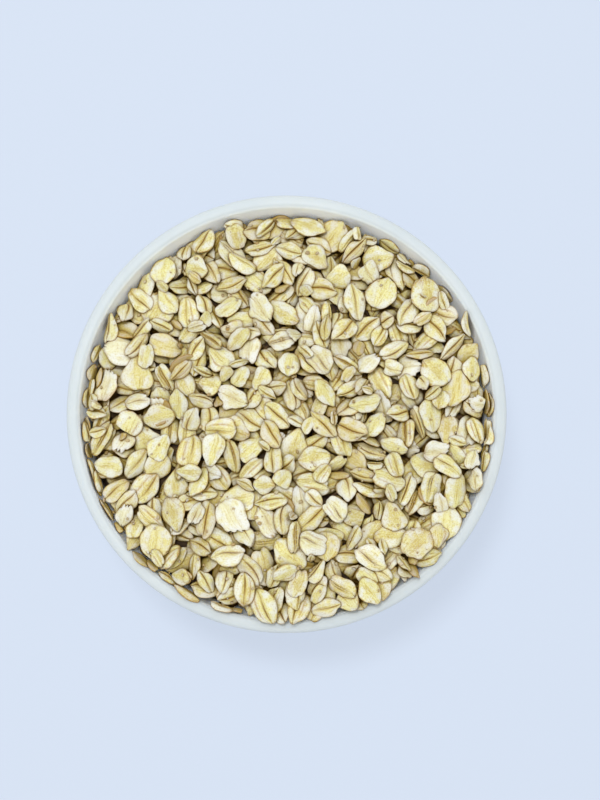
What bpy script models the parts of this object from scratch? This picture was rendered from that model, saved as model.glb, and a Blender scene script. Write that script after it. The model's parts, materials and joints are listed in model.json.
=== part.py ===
"""A round white bowl filled with rolled oats.

The bowl is a turned porcelain shape standing on a foot ring. The oats are one heap:
a core that fits inside the bowl, with oat flakes of true size fused onto its top.
Units are metres, +Z is up, and the origin is the centre of the foot's underside.
"""

import random
from math import cos, hypot, pi, radians, sin, sqrt

import bmesh
import bpy
from mathutils import Matrix, Vector

# Bowl
BOWL_RADIUS = 0.070
BOWL_HEIGHT = 0.060
LIP_THICKNESS = 0.0044
FLOOR_THICKNESS = 0.0042
SIDE_FLARE = 0.0100
SIDE_ROUNDNESS = 0.86
INNER_FLAT_RADIUS = 0.0150
FOOT_RADIUS = 0.0340
FOOT_WIDTH = 0.0048
FOOT_HEIGHT = 0.0040
FOOT_RECESS = 0.0026
FOOT_DRAFT = 0.0006
BOWL_SEGMENTS = 64
SIDE_STEPS = 7
LIP_STEPS = 6

# Heap of oats
HEAP_GAP = 0.0003
HEAP_SEGMENTS = 32
HEAP_TOP_RINGS = 7
RING_SPREAD = 1.4
CROWN_ABOVE_RIM = 0.0018
EDGE_BELOW_RIM = 0.0040
CROWN_POWER = 2.4
EDGE_LEAN = 0.0010
LEAN_DIRECTION = radians(-50)
CORE_BELOW_SURFACE = 0.0005
CORE_BUMP = 0.0003
CORE_EDGE_DROP = 0.0004

# Oat flakes
SEED = 417
FLAKE_COUNT = 182
FLAKE_LENGTH = (0.0074, 0.0110)
FLAKE_ASPECT = (0.56, 0.76)
FLAKE_THICKNESS = (0.0006, 0.0009)
FLAKE_SIDES = 7
FLAKE_UPPER_SIZE = 0.86
FLAKE_TAPER = 0.3
FLAKE_CROWN = 0.00035
FLAKE_TILT = radians(12)
FLAKE_LIFT = (-0.0003, 0.0003)
FLAKE_SPACING = 1.5
SPOT_TRIES = 60
LYING_MARGIN = 0.0040

# Flakes that stand against the bowl's wall
WALL_FLAKE_COUNT = 24
WALL_FLAKE_TILT = (radians(38), radians(68))
WALL_FLAKE_SWING = radians(12)
WALL_FLAKE_DROP = 0.0012
WALL_MARGIN = 0.0025
CLEARANCE = 0.0001

# Shortest edge kept after fusing
WELD_DISTANCE = 0.000001

PORCELAIN_WHITE = (0.80, 0.83, 0.86, 1.0)
PORCELAIN_ROUGHNESS = 0.22
OAT_CREAM = (0.72, 0.60, 0.33, 1.0)
OAT_ROUGHNESS = 0.75


def clear_scene():
    for old in list(bpy.data.objects):
        bpy.data.objects.remove(old, do_unlink=True)


def new_collection(name):
    collection = bpy.data.collections.new(name)
    bpy.context.scene.collection.children.link(collection)
    return collection


def principled(name, colour, roughness):
    material = bpy.data.materials.new(name)
    material.use_nodes = True
    shader = material.node_tree.nodes["Principled BSDF"]
    shader.inputs["Base Color"].default_value = colour
    shader.inputs["Roughness"].default_value = roughness
    shader.inputs["Metallic"].default_value = 0.0
    return material


def side_curve(start_radius, low, end_radius, high):
    """Points (radius, height) of a rounded, slightly flared side, bottom to top."""
    reach = end_radius - start_radius - SIDE_FLARE
    points = []
    for step in range(SIDE_STEPS + 1):
        angle = 0.5 * pi * step / SIDE_STEPS
        rise = 1 - cos(angle) ** SIDE_ROUNDNESS if step < SIDE_STEPS else 1.0
        radius = start_radius + reach * sin(angle) ** SIDE_ROUNDNESS + SIDE_FLARE * rise
        points.append((radius, low + (high - low) * rise))
    return points


def inner_side(gap=0.0):
    """The bowl's inner wall, or a curve that keeps a gap to it."""
    return side_curve(
        INNER_FLAT_RADIUS,
        FOOT_HEIGHT + FLOOR_THICKNESS + gap,
        BOWL_RADIUS - LIP_THICKNESS - gap,
        BOWL_HEIGHT - LIP_THICKNESS / 2,
    )


def radius_at(points, height):
    """Radius of a side curve at a height, by straight lines between its points."""
    for (r0, z0), (r1, z1) in zip(points, points[1:]):
        if height <= z1:
            return r0 + (r1 - r0) * (height - z0) / (z1 - z0)
    return points[-1][0]


def applied(body):
    """The object with its modifiers made part of its mesh."""
    graph = bpy.context.evaluated_depsgraph_get()
    finished = bpy.data.meshes.new_from_object(body.evaluated_get(graph))
    finished.name = body.name
    body.modifiers.clear()
    body.data = finished
    return body


def turned(name, profile, segments, material, collection):
    """A closed body of revolution from a profile that starts and ends on the axis."""
    mesh = bpy.data.meshes.new(name)
    edges = [(i, i + 1) for i in range(len(profile) - 1)]
    mesh.from_pydata([(r, 0.0, z) for r, z in profile], edges, [])
    body = bpy.data.objects.new(name, mesh)
    collection.objects.link(body)
    mesh.materials.append(material)
    screw = body.modifiers.new("Turn", "SCREW")
    screw.steps = segments
    screw.render_steps = segments
    screw.use_merge_vertices = True
    screw.merge_threshold = 0.00001
    return applied(body)


def make_bowl(collection):
    """The bowl's profile runs up the inside, over the lip, and down the outside to the foot."""
    lip_radius = LIP_THICKNESS / 2
    lip_height = BOWL_HEIGHT - lip_radius
    inside = inner_side()
    lip = []
    for step in range(1, LIP_STEPS):
        angle = pi - pi * step / LIP_STEPS
        lip.append((BOWL_RADIUS - lip_radius + lip_radius * cos(angle), lip_height + lip_radius * sin(angle)))
    outside = side_curve(FOOT_RADIUS, FOOT_HEIGHT, BOWL_RADIUS, lip_height)
    outside.reverse()
    ring_inside = FOOT_RADIUS - FOOT_WIDTH
    foot = [
        (FOOT_RADIUS - FOOT_DRAFT, 0.0),
        (ring_inside, 0.0),
        (ring_inside - FOOT_DRAFT, FOOT_RECESS),
        (0.0, FOOT_RECESS),
    ]
    profile = [(0.0, inside[0][1])] + inside + lip + outside + foot
    porcelain = principled("porcelain", PORCELAIN_WHITE, PORCELAIN_ROUGHNESS)
    bowl = turned("bowl", profile, BOWL_SEGMENTS, porcelain, collection)
    bowl.data.shade_smooth()
    bowl.data.set_sharp_from_angle(angle=radians(40))


def heap_height(x, y):
    """Height of the heap's mean surface: a low crown, a little higher at one side."""
    reach = BOWL_RADIUS - LIP_THICKNESS
    share = min(1.0, hypot(x, y) / reach)
    fall = CROWN_ABOVE_RIM + EDGE_BELOW_RIM
    lean = EDGE_LEAN * (x * cos(LEAN_DIRECTION) + y * sin(LEAN_DIRECTION)) / reach
    return BOWL_HEIGHT + CROWN_ABOVE_RIM - fall * share ** CROWN_POWER + lean


def heap_normal(x, y, step=0.0005):
    """Upward normal of the heap's mean surface."""
    along_x = (heap_height(x + step, y) - heap_height(x - step, y)) / (2 * step)
    along_y = (heap_height(x, y + step) - heap_height(x, y - step)) / (2 * step)
    return Vector((-along_x, -along_y, 1.0)).normalized()


def make_core(collection, draw):
    """The body of the heap below its top flakes, clear of the bowl all round."""
    wall = inner_side(HEAP_GAP)
    edge_height = BOWL_HEIGHT - EDGE_BELOW_RIM - EDGE_LEAN - CORE_BELOW_SURFACE - CORE_EDGE_DROP
    edge_radius = radius_at(wall, edge_height)
    side = [point for point in wall if point[1] < edge_height] + [(edge_radius, edge_height)]
    top = []
    for ring in range(1, HEAP_TOP_RINGS + 1):
        top.append((edge_radius * (1 - (ring / HEAP_TOP_RINGS) ** RING_SPREAD), BOWL_HEIGHT))
    profile = [(0.0, side[0][1])] + side + top
    profile.reverse()
    oats = principled("oats", OAT_CREAM, OAT_ROUGHNESS)
    core = turned("rolled_oats", profile, HEAP_SEGMENTS, oats, collection)
    for vertex in core.data.vertices:
        spot = vertex.co
        if spot.z > edge_height + WELD_DISTANCE:
            bump = draw.uniform(-CORE_BUMP, CORE_BUMP)
            spot.z = heap_height(spot.x, spot.y) - CORE_BELOW_SURFACE + bump
    return core


def flake_mesh(name, length, width, draw):
    """An oval plate with a bevelled rim, a low crown and one end narrower."""
    thickness = draw.uniform(*FLAKE_THICKNESS)
    taper = draw.uniform(0, FLAKE_TAPER)
    form = bmesh.new()
    plate = bmesh.ops.create_cone(
        form,
        cap_ends=True,
        segments=FLAKE_SIDES,
        radius1=0.5,
        radius2=0.5 * FLAKE_UPPER_SIZE,
        depth=thickness,
    )
    for vertex in plate["verts"]:
        vertex.co.y *= width * (1 - taper * vertex.co.x)
        vertex.co.x *= length
    upper = max(form.faces, key=lambda face: face.calc_center_median().z)
    centre = bmesh.ops.poke(form, faces=[upper])["verts"][0]
    centre.co.z += FLAKE_CROWN
    mesh = bpy.data.meshes.new(name)
    form.to_mesh(mesh)
    form.free()
    return mesh


def clear_of_bowl(mesh, place, wall):
    """The flake's place, moved towards the middle until it is clear of the bowl."""
    points = [place @ vertex.co for vertex in mesh.vertices]
    excess = max(hypot(point.x, point.y) - radius_at(wall, point.z) for point in points)
    if excess <= 0:
        return place
    inward = Vector((-place.translation.x, -place.translation.y, 0.0)).normalized()
    return Matrix.Translation(inward * (excess + CLEARANCE)) @ place


def add_flake(collection, mesh, place, wall):
    flake = bpy.data.objects.new(mesh.name, mesh)
    flake.matrix_world = clear_of_bowl(mesh, place, wall)
    collection.objects.link(flake)


def lying_spots(draw):
    """Spots and sizes of the flakes on the heap: the largest first, spread evenly."""
    lengths = sorted((draw.triangular(*FLAKE_LENGTH) for _ in range(FLAKE_COUNT)), reverse=True)
    reach = BOWL_RADIUS - LIP_THICKNESS - LYING_MARGIN
    placed = []
    for length in lengths:
        width = length * draw.uniform(*FLAKE_ASPECT)
        size = (length + width) / 4
        best_room = -1.0
        spot = (0.0, 0.0)
        for _ in range(SPOT_TRIES):
            radius = reach * sqrt(draw.random())
            angle = draw.uniform(0, 2 * pi)
            x = radius * cos(angle)
            y = radius * sin(angle)
            rooms = (hypot(x - px, y - py) / (size + near) for px, py, near, _, _ in placed)
            room = min(rooms, default=FLAKE_SPACING)
            if room > best_room:
                best_room = room
                spot = (x, y)
            if room >= FLAKE_SPACING:
                break
        placed.append((*spot, size, length, width))
    return placed


def make_lying_flakes(collection, draw, wall):
    for number, (x, y, _, length, width) in enumerate(lying_spots(draw)):
        mesh = flake_mesh(f"flake.{number}", length, width, draw)
        slope = heap_normal(x, y).to_track_quat("Z", "Y").to_matrix().to_4x4()
        turn = Matrix.Rotation(draw.uniform(0, 2 * pi), 4, "Z")
        pitch = Matrix.Rotation(draw.gauss(0, FLAKE_TILT), 4, "Y")
        roll = Matrix.Rotation(draw.gauss(0, FLAKE_TILT), 4, "X")
        height = heap_height(x, y) + draw.uniform(*FLAKE_LIFT)
        add_flake(collection, mesh, Matrix.Translation((x, y, height)) @ slope @ turn @ pitch @ roll, wall)


def make_wall_flakes(collection, draw, wall):
    """Flakes that lean steeply against the bowl all round the heap's edge."""
    radius = BOWL_RADIUS - LIP_THICKNESS - WALL_MARGIN
    for number in range(WALL_FLAKE_COUNT):
        bearing = 2 * pi * (number + draw.uniform(-0.3, 0.3)) / WALL_FLAKE_COUNT
        length = draw.uniform(*FLAKE_LENGTH)
        mesh = flake_mesh(f"wall_flake.{number}", length, length * draw.uniform(*FLAKE_ASPECT), draw)
        x = radius * cos(bearing)
        y = radius * sin(bearing)
        around = Matrix.Rotation(bearing - pi / 2 + draw.gauss(0, WALL_FLAKE_SWING), 4, "Z")
        lean = Matrix.Rotation(-draw.uniform(*WALL_FLAKE_TILT), 4, "X")
        spin = Matrix.Rotation(draw.gauss(0, WALL_FLAKE_SWING), 4, "Z")
        height = heap_height(x, y) - WALL_FLAKE_DROP
        add_flake(collection, mesh, Matrix.Translation((x, y, height)) @ around @ lean @ spin, wall)


def keep_main_shell(mesh):
    """Drops loose scraps and fills sealed hollows: only the outer shell stays."""
    form = bmesh.new()
    form.from_mesh(mesh)
    bmesh.ops.dissolve_degenerate(form, edges=form.edges, dist=WELD_DISTANCE)
    unseen = set(form.faces)
    shells = []
    while unseen:
        shell = set()
        front = [unseen.pop()]
        while front:
            face = front.pop()
            shell.add(face)
            for edge in face.edges:
                for other in edge.link_faces:
                    if other in unseen:
                        unseen.remove(other)
                        front.append(other)
        shells.append(shell)
    shells.sort(key=len, reverse=True)
    scraps = [face for shell in shells[1:] for face in shell]
    bmesh.ops.delete(form, geom=scraps, context="FACES")
    form.to_mesh(mesh)
    form.free()


def make_heap(collection):
    """The core with all its flakes fused on by one union."""
    draw = random.Random(SEED)
    core = make_core(collection, draw)
    flakes = new_collection("oat_flakes")
    wall = inner_side(HEAP_GAP)
    make_lying_flakes(flakes, draw, wall)
    make_wall_flakes(flakes, draw, wall)
    fuse = core.modifiers.new("Fuse", "BOOLEAN")
    fuse.operation = "UNION"
    fuse.operand_type = "COLLECTION"
    fuse.collection = flakes
    fuse.solver = "EXACT"
    applied(core)
    for flake in list(flakes.objects):
        bpy.data.objects.remove(flake, do_unlink=True)
    bpy.data.collections.remove(flakes)
    keep_main_shell(core.data)
    core.data.shade_flat()


def main():
    clear_scene()
    collection = new_collection("bowl_of_rolled_oats")
    make_bowl(collection)
    make_heap(collection)


main()
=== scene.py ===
import json
import math
import random

import bmesh
import bpy
import numpy as np
from mathutils import Matrix, Vector

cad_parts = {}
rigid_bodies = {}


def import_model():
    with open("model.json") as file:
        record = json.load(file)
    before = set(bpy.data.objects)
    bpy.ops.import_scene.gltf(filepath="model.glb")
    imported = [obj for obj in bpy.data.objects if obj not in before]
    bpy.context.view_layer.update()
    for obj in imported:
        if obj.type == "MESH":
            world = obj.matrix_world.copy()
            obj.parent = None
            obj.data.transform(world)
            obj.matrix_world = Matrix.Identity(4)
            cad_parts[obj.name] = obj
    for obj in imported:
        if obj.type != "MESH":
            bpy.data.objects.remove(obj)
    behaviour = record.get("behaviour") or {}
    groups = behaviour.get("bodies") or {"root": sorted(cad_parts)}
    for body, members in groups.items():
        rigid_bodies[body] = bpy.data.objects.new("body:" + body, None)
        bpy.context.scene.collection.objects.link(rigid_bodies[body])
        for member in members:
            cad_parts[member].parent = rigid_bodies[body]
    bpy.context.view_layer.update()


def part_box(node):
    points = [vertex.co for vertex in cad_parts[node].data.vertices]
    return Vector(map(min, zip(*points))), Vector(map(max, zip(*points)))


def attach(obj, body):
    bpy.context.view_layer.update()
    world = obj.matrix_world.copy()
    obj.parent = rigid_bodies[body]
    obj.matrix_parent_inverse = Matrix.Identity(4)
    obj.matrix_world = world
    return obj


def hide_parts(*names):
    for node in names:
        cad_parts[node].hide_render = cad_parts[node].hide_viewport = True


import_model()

bowlLow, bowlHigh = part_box("bowl")
bowlRadius = (bowlHigh[0] - bowlLow[0]) / 2
bowlHeight = bowlHigh[2]
mm = 0.001


# Small helpers

def srgb(red, green, blue):
    # 0 to 255 as a screen shows it, to the linear numbers that a shader takes
    def linear(value):
        share = value / 255
        return share / 12.92 if share <= 0.04045 else ((share + 0.055) / 1.055) ** 2.4
    return (linear(red), linear(green), linear(blue), 1.0)


def smooth(low, high, value):
    share = np.clip((value - low) / (high - low), 0, 1)
    return share * share * (3 - 2 * share)


def meshFrom(name, points, faces):
    mesh = bpy.data.meshes.new(name)
    mesh.from_pydata([tuple(point) for point in points], [], faces)
    mesh.update()
    return mesh


def addObject(name, data):
    thing = bpy.data.objects.new(name, data)
    bpy.context.scene.collection.objects.link(thing)
    return thing


def setVectors(mesh, name, values):
    layer = mesh.attributes.new(name, "FLOAT_VECTOR", "POINT")
    layer.data.foreach_set("vector", np.asarray(values, np.float32).ravel())


def readVectors(items, key):
    values = np.empty(len(items) * 3, np.float32)
    items.foreach_get(key, values)
    return values.reshape(-1, 3)


def takeMesh(name, form):
    mesh = bpy.data.meshes.new(name)
    form.to_mesh(mesh)
    form.free()
    return mesh


# Node helpers: each input of a node takes a value, or another node's socket to link to

def fill(tree, made, inputs):
    for key, value in inputs.items():
        if isinstance(value, bpy.types.NodeSocket):
            tree.links.new(value, made.inputs[key])
        else:
            made.inputs[key].default_value = value
    return made


def node(tree, kind, inputs={}, **settings):
    made = tree.nodes.new(kind)
    for key, value in settings.items():
        setattr(made, key, value)
    return fill(tree, made, inputs)


def newMaterial(name):
    material = bpy.data.materials.new(name)
    material.use_nodes = True
    return material, material.node_tree, material.node_tree.nodes["Principled BSDF"]


def noiseOf(tree, vector, scale, detail=2.0, roughness=0.5):
    values = {"Vector": vector, "Scale": scale, "Detail": detail, "Roughness": roughness}
    return node(tree, "ShaderNodeTexNoise", values).outputs["Fac"]


def rangeOf(tree, value, low, high, toLow=0.0, toHigh=1.0):
    values = {"Value": value, "From Min": low, "From Max": high, "To Min": toLow, "To Max": toHigh}
    return node(tree, "ShaderNodeMapRange", values, interpolation_type="SMOOTHSTEP").outputs["Result"]


def maths(tree, operation, first, second=0.0):
    return node(tree, "ShaderNodeMath", {0: first, 1: second}, operation=operation).outputs[0]


def times(tree, first, second):
    return maths(tree, "MULTIPLY", first, second)


def vectorMaths(tree, operation, first, second=(0.0, 0.0, 0.0)):
    return node(tree, "ShaderNodeVectorMath", {0: first, 1: second}, operation=operation).outputs


def blendColours(tree, factor, first, second):
    return node(tree, "ShaderNodeMix", {0: factor, 6: first, 7: second}, data_type="RGBA").outputs[2]


def combine(tree, x, y, z):
    return node(tree, "ShaderNodeCombineXYZ", {0: x, 1: y, 2: z}).outputs[0]


def split(tree, vector):
    return node(tree, "ShaderNodeSeparateXYZ", {0: vector}).outputs


def opennessOf(tree, reach):
    # 1 in the open and 0 where everything within reach is covered
    return node(tree, "ShaderNodeAmbientOcclusion", {"Distance": reach}, samples=4).outputs["AO"]


def bumpOf(tree, height, strength, distance):
    values = {"Height": height, "Strength": strength, "Distance": distance}
    return node(tree, "ShaderNodeBump", values).outputs[0]


# The bowl: one profile, turned

bowlForm = {
    "lip": 4.4 * mm,
    "floor": 4.2 * mm,
    "flare": 10.0 * mm,
    "roundness": 0.86,
    "innerFlat": 15.0 * mm,
    "innerSwell": 0.9 * mm,
    "footRadius": 34.0 * mm,
    "footWidth": 4.8 * mm,
    "footHeight": 4.0 * mm,
    "footRecess": 2.6 * mm,
    "footDraft": 0.6 * mm,
    "footEdge": 0.5 * mm,
    "segments": 160,
    "sideSteps": 40,
    "lipSteps": 18,
    "lipSquareness": 0.72,
}

wallTop = bowlRadius - bowlForm["lip"]


def sideCurve(startRadius, low, endRadius, high, steps):
    reach = endRadius - startRadius - bowlForm["flare"]
    points = []
    for step in range(steps + 1):
        angle = 0.5 * math.pi * step / steps
        rise = 1 - max(math.cos(angle), 0.0) ** bowlForm["roundness"] if step < steps else 1.0
        radius = startRadius + reach * math.sin(angle) ** bowlForm["roundness"] + bowlForm["flare"] * rise
        points.append((radius, low + (high - low) * rise))
    return points


def innerSide(gap, steps):
    top = bowlHeight - bowlForm["lip"] / 2
    floorHeight = bowlForm["footHeight"] + bowlForm["floor"] + gap
    curve = sideCurve(bowlForm["innerFlat"], floorHeight, wallTop - gap, top, steps)
    points = []
    for radius, height in curve:
        share = 1 - (height - floorHeight) / (top - floorHeight)
        swell = bowlForm["innerSwell"] * float(smooth(0.0, 0.07, share) * smooth(0.8, 0.3, share))
        points.append((radius - swell, height))
    return points


def turned(name, profile, segments):
    # A closed body from a profile of (radius, height) whose two ends lie on the axis
    points = [(0.0, 0.0, profile[0][1])]
    for radius, height in profile[1:-1]:
        for step in range(segments):
            angle = 2 * math.pi * step / segments
            points.append((radius * math.cos(angle), radius * math.sin(angle), height))
    points.append((0.0, 0.0, profile[-1][1]))
    faces = []
    rings = len(profile) - 2
    last = len(points) - 1
    for step in range(segments):
        after = (step + 1) % segments
        faces.append((0, 1 + step, 1 + after))
        for ring in range(rings - 1):
            base = 1 + ring * segments
            faces.append((base + step, base + segments + step, base + segments + after, base + after))
        base = 1 + (rings - 1) * segments
        faces.append((base + after, base + step, last))
    mesh = meshFrom(name, points, faces)
    form = bmesh.new()
    form.from_mesh(mesh)
    bmesh.ops.recalc_face_normals(form, faces=form.faces)
    form.to_mesh(mesh)
    form.free()
    return mesh


def makeBowl():
    lipRadius = bowlForm["lip"] / 2
    lipHeight = bowlHeight - lipRadius
    inside = innerSide(0.0, bowlForm["sideSteps"])
    lip = []
    for step in range(1, bowlForm["lipSteps"]):
        angle = math.pi - math.pi * step / bowlForm["lipSteps"]
        out = math.copysign(abs(math.cos(angle)) ** bowlForm["lipSquareness"], math.cos(angle))
        up = math.sin(angle) ** bowlForm["lipSquareness"]
        lip.append((bowlRadius - lipRadius + lipRadius * out, lipHeight + lipRadius * up))
    footRadius, recess = bowlForm["footRadius"], bowlForm["footRecess"]
    outside = sideCurve(footRadius, bowlForm["footHeight"], bowlRadius, lipHeight, bowlForm["sideSteps"])
    outside.reverse()
    edge, draft = bowlForm["footEdge"], bowlForm["footDraft"]
    ringInside = footRadius - bowlForm["footWidth"]
    foot = [
        (footRadius - draft + edge / 2, edge),
        (footRadius - draft, edge / 4),
        (footRadius - draft - edge, 0.0),
        (ringInside + edge, 0.0),
        (ringInside, edge / 3),
        (ringInside - draft, recess - edge),
        (ringInside - draft - edge, recess),
        (0.0, recess),
    ]
    profile = [(0.0, inside[0][1])] + inside + lip + outside + foot
    mesh = turned("porcelainBowl", profile, bowlForm["segments"])
    mesh.shade_smooth()
    return addObject("porcelainBowl", mesh)


# Each pair says where a colour or the bare foot starts and ends: by height, or inwards of the rim
glaze = {
    "white": srgb(201, 209, 213),
    "pool": srgb(197, 206, 211),
    "speck": srgb(188, 190, 186),
    # Painted light: the glaze below the lip is painted whiter, where the overhead lamps light the outside
    # less
    "outerPaintedLight": srgb(231, 236, 239),
    "outerPaintedLightTop": (56.2 * mm, 58.4 * mm),
    # Painted light: the inner wall is painted far whiter, between these heights and inwards of the rim
    "innerPaintedLight": srgb(244, 251, 255),
    "innerFoot": (45 * mm, 50 * mm),
    "innerEdge": (4.6 * mm, 3.4 * mm),
    # Painted shade: brown where the oats close in the inner wall, looked for within this reach
    "creviceShade": srgb(104, 78, 34),
    "creviceShadeReach": 2.6 * mm,
    "bareFoot": srgb(222, 218, 208),
    "bareTop": (0.2 * mm, 0.9 * mm),
    "roughness": 0.52,
    "coat": 0.08,
}


def glazeMaterial():
    material, tree, shader = newMaterial("porcelainGlaze")
    where = node(tree, "ShaderNodeTexCoord").outputs["Object"]
    height = split(tree, where)[2]
    radius = vectorMaths(tree, "LENGTH", vectorMaths(tree, "MULTIPLY", where, (1.0, 1.0, 0.0))[0])["Value"]
    cloud = noiseOf(tree, where, 42, 3.0)
    speck = noiseOf(tree, where, 1500, 1.0)
    body = blendColours(tree, rangeOf(tree, cloud, 0.35, 0.7), glaze["white"], glaze["pool"])
    body = blendColours(tree, rangeOf(tree, speck, 0.74, 0.80, 0.0, 0.35), body, glaze["speck"])
    # Painted light: whiter below the lip, standing in for light on the outside
    body = blendColours(tree, rangeOf(tree, height, *glaze["outerPaintedLightTop"], 1.0, 0.0), body, glaze["outerPaintedLight"])

    # Painted light: the inner wall is painted the whitest, as if more light reached it
    edges = [bowlRadius - inwards for inwards in glaze["innerEdge"]]
    inside = times(tree, rangeOf(tree, radius, *edges, 1.0, 0.0), rangeOf(tree, height, *glaze["innerFoot"]))
    body = blendColours(tree, inside, body, glaze["innerPaintedLight"])
    # Painted shade: brown in the crevices between the inner wall and the oats
    creviceShade = rangeOf(tree, opennessOf(tree, glaze["creviceShadeReach"]), 0.12, 0.52, 0.92, 0.0)
    body = blendColours(tree, times(tree, inside, creviceShade), body, glaze["creviceShade"])

    bare = rangeOf(tree, height, *glaze["bareTop"], 1.0, 0.0)
    rough = rangeOf(tree, cloud, 0.2, 0.8, glaze["roughness"] - 0.05, glaze["roughness"] + 0.08)
    grain = times(tree, noiseOf(tree, where, 2200, 1.0), 0.06)
    relief = maths(tree, "ADD", noiseOf(tree, where, 120, 2.0), grain)
    fill(tree, shader, {
        "Base Color": blendColours(tree, bare, body, glaze["bareFoot"]),
        "Roughness": maths(tree, "ADD", rough, times(tree, bare, 0.5)),
        "Coat Weight": glaze["coat"],
        "Coat Roughness": 0.30,
        "Specular IOR Level": 0.3,
        "Subsurface Weight": 0.6,
        "Subsurface Radius": (1.0, 0.95, 0.85),
        "Subsurface Scale": 0.005,
        "Normal": bumpOf(tree, relief, 0.12, 0.0004),
    })
    return material


bowl = makeBowl()
bowl.data.materials.append(glazeMaterial())
print("stage 2: bowl", len(bowl.data.polygons), "faces")


# The shapes of the flakes. Each is a pressed oval plate, made on a square grid bent into a disc,
# so that its lengthwise lines run along the crease.

flakeGrid = {
    "along": (-1, -0.88, -0.70, -0.48, -0.24, 0, 0.24, 0.48, 0.70, 0.88, 1),
    "across": (
        -1, -0.85, -0.68, -0.52, -0.36, -0.22, -0.11, -0.045, 0,
        0.045, 0.11, 0.22, 0.36, 0.52, 0.68, 0.85, 1,
    ),
    "halfLength": 4.92 * mm,
    "halfWidth": 5.20 * mm,
    "halfThickness": 0.26 * mm,
    "coverParts": (3, 2),
    "fineParts": (5, 2),
    "seed": 31,
}

# One column for each kind. The pairs are (least, most), heights in millimetres, and widths and outlines
# as shares of the half length. The last three rows are the chances of a double crease, of ridges beside
# it, and of a blunt, broken end.
kindNames = ("smoothFlakes", "creasedFlakes", "foldedFlakes", "flouryFlakes", "germFlakes")
flakeTraits = {
    "forms": (16, 18, 16, 10, 5),
    "share": (0.27, 0.33, 0.28, 0.11, 0.035),
    "aspect": ((0.54, 0.76), (0.46, 0.66), (0.38, 0.60), (0.50, 0.76), (0.38, 0.55)),
    "taper": ((0.00, 0.20), (-0.05, 0.18), (-0.05, 0.22), (-0.05, 0.20), (0.00, 0.20)),
    "tipFront": ((0.10, 0.55), (0.15, 0.60), (0.20, 0.65), (0.00, 0.40), (0.00, 0.40)),
    "tipBack": ((0.00, 0.30), (0.05, 0.45), (0.05, 0.50), (0.00, 0.30), (0.00, 0.20)),
    "crease": ((0.00, 0.03), (0.15, 0.50), (0.20, 0.45), (0.00, 0.30), (0.00, 0.04)),
    "offset": ((-0.20, 0.20), (-0.22, 0.22), (-0.30, 0.30), (-0.20, 0.20), (-0.10, 0.10)),
    "lobe": ((-0.03, 0.06), (0.16, 0.42), (0.10, 0.35), (0.00, 0.20), (0.00, 0.05)),
    "step": ((0.00, 0.00), (0.00, 0.35), (0.30, 0.65), (0.00, 0.30), (0.00, 0.00)),
    "notch": ((0.00, 0.00), (0.02, 0.16), (0.02, 0.18), (0.00, 0.25), (0.00, 0.00)),
    "fold": ((-0.10, 0.20), (-0.50, 0.40), (0.30, 1.30), (-0.30, 0.50), (0.10, 0.50)),
    "cup": ((-0.75, -0.05), (-0.70, 0.10), (-0.40, 0.30), (-0.70, 0.30), (-0.90, -0.40)),
    "bend": ((-0.60, 0.20), (-0.70, 0.40), (-0.80, 0.50), (-0.60, 0.40), (-0.50, 0.10)),
    "twist": ((-0.40, 0.40), (-0.70, 0.70), (-0.80, 0.80), (-0.60, 0.60), (-0.20, 0.20)),
    "ragged": ((0.00, 0.10), (0.00, 0.12), (0.02, 0.14), (0.16, 0.36), (0.00, 0.08)),
    "raw": ((0.00, 0.35), (0.00, 0.60), (0.00, 0.70), (0.70, 1.00), (0.00, 0.20)),
    "double": (0.00, 0.25, 0.20, 0.20, 0.00),
    "ridges": (0.20, 0.45, 0.50, 0.50, 0.10),
    "blunt": (0.22, 0.18, 0.20, 0.35, 0.25),
}
flakeKinds = {kind: {key: row[n] for key, row in flakeTraits.items()} for n, kind in enumerate(kindNames)}


def flakeRim(rows, columns):
    rim = [(0, j) for j in range(columns)]
    rim += [(i, columns - 1) for i in range(1, rows)]
    rim += [(rows - 1, j) for j in range(columns - 2, -1, -1)]
    rim += [(i, 0) for i in range(rows - 2, 0, -1)]
    return rim


def flakeFaces(index, rim, lowRim, innerRim, centre):
    # The top, the narrow side, and the underside: a ring of triangles with a fan inside it
    rows, columns = index.shape
    faces = []
    for i in range(rows - 1):
        for j in range(columns - 1):
            faces.append((index[i, j], index[i + 1, j], index[i + 1, j + 1], index[i, j + 1]))
    count = len(rim)
    for step in range(count):
        after = (step + 1) % count
        faces.append((index[rim[step]], index[rim[after]], lowRim[after], lowRim[step]))
    inner = len(innerRim)
    for step in range(inner):
        after = (step + 1) % inner
        first, second, third = (lowRim[(2 * step + n) % count] for n in range(3))
        faces.append((first, second, innerRim[step]))
        faces.append((second, innerRim[after], innerRim[step]))
        faces.append((second, third, innerRim[after]))
        faces.append((innerRim[step], innerRim[after], centre))
    return [tuple(int(k) for k in face) for face in faces]


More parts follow.
